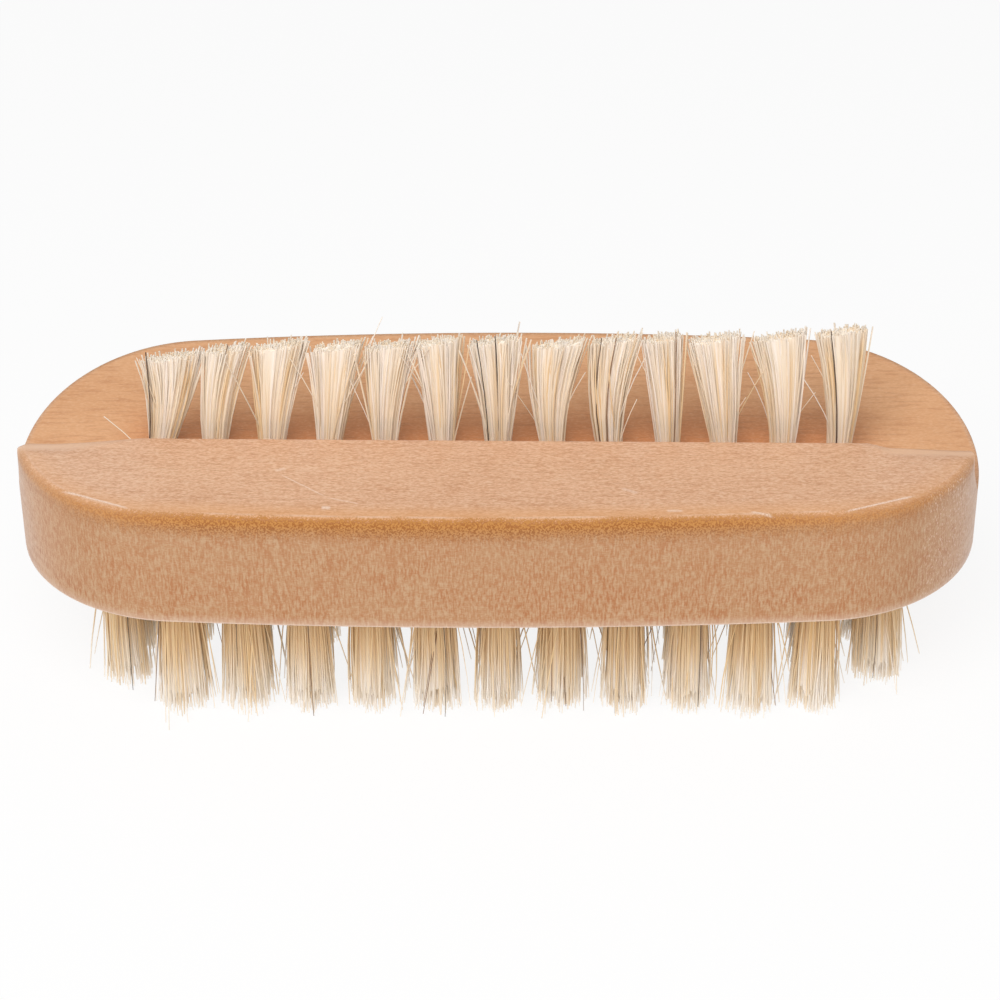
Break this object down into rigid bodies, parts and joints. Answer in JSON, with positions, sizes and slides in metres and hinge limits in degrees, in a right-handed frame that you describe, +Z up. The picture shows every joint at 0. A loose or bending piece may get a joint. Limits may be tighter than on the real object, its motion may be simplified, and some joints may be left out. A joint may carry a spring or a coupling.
{
  "type": "nail brush",
  "caption": "Two-sided wooden nail brush with an oval block, a row of bristle tufts in a groove along its top and rows of tufts on its underside, for scrubbing nails and hands.",
  "frame": {"origin": "under the middle of the block, in the plane of the underside tuft tips", "axes": "+X along the block, +Y from the front land to the sloping back of the groove, +Z up through the top row of tufts"},
  "size_m": [0.095, 0.0364, 0.0356],
  "materials": {
    "wood": "pale tan hardwood with fine grain and ray flecks, clear satin varnish",
    "bristle": "natural cream bristle with some golden and a few dark hairs",
    "anchor_wire": "plain flat wire, hidden in the holes"
  },
  "bodies": {
    "root": {"wood_block": "wood", "top_tuft_01": "bristle", "top_tuft_02": "bristle", "top_tuft_03": "bristle", "top_tuft_04": "bristle", "top_tuft_05": "bristle", "top_tuft_06": "bristle", "top_tuft_07": "bristle", "top_tuft_08": "bristle", "top_tuft_09": "bristle", "top_tuft_10": "bristle", "top_tuft_11": "bristle", "top_tuft_12": "bristle", "top_tuft_13": "bristle", "underside_tufts_row_1": "bristle", "underside_tufts_row_2": "bristle", "underside_tufts_row_3": "bristle", "underside_tufts_row_4": "bristle", "underside_tufts_row_5": "bristle", "top_anchors": "anchor_wire", "underside_anchors_row_1": "anchor_wire", "underside_anchors_row_2": "anchor_wire", "underside_anchors_row_3": "anchor_wire", "underside_anchors_row_4": "anchor_wire", "underside_anchors_row_5": "anchor_wire"}
  },
  "joints": []
}
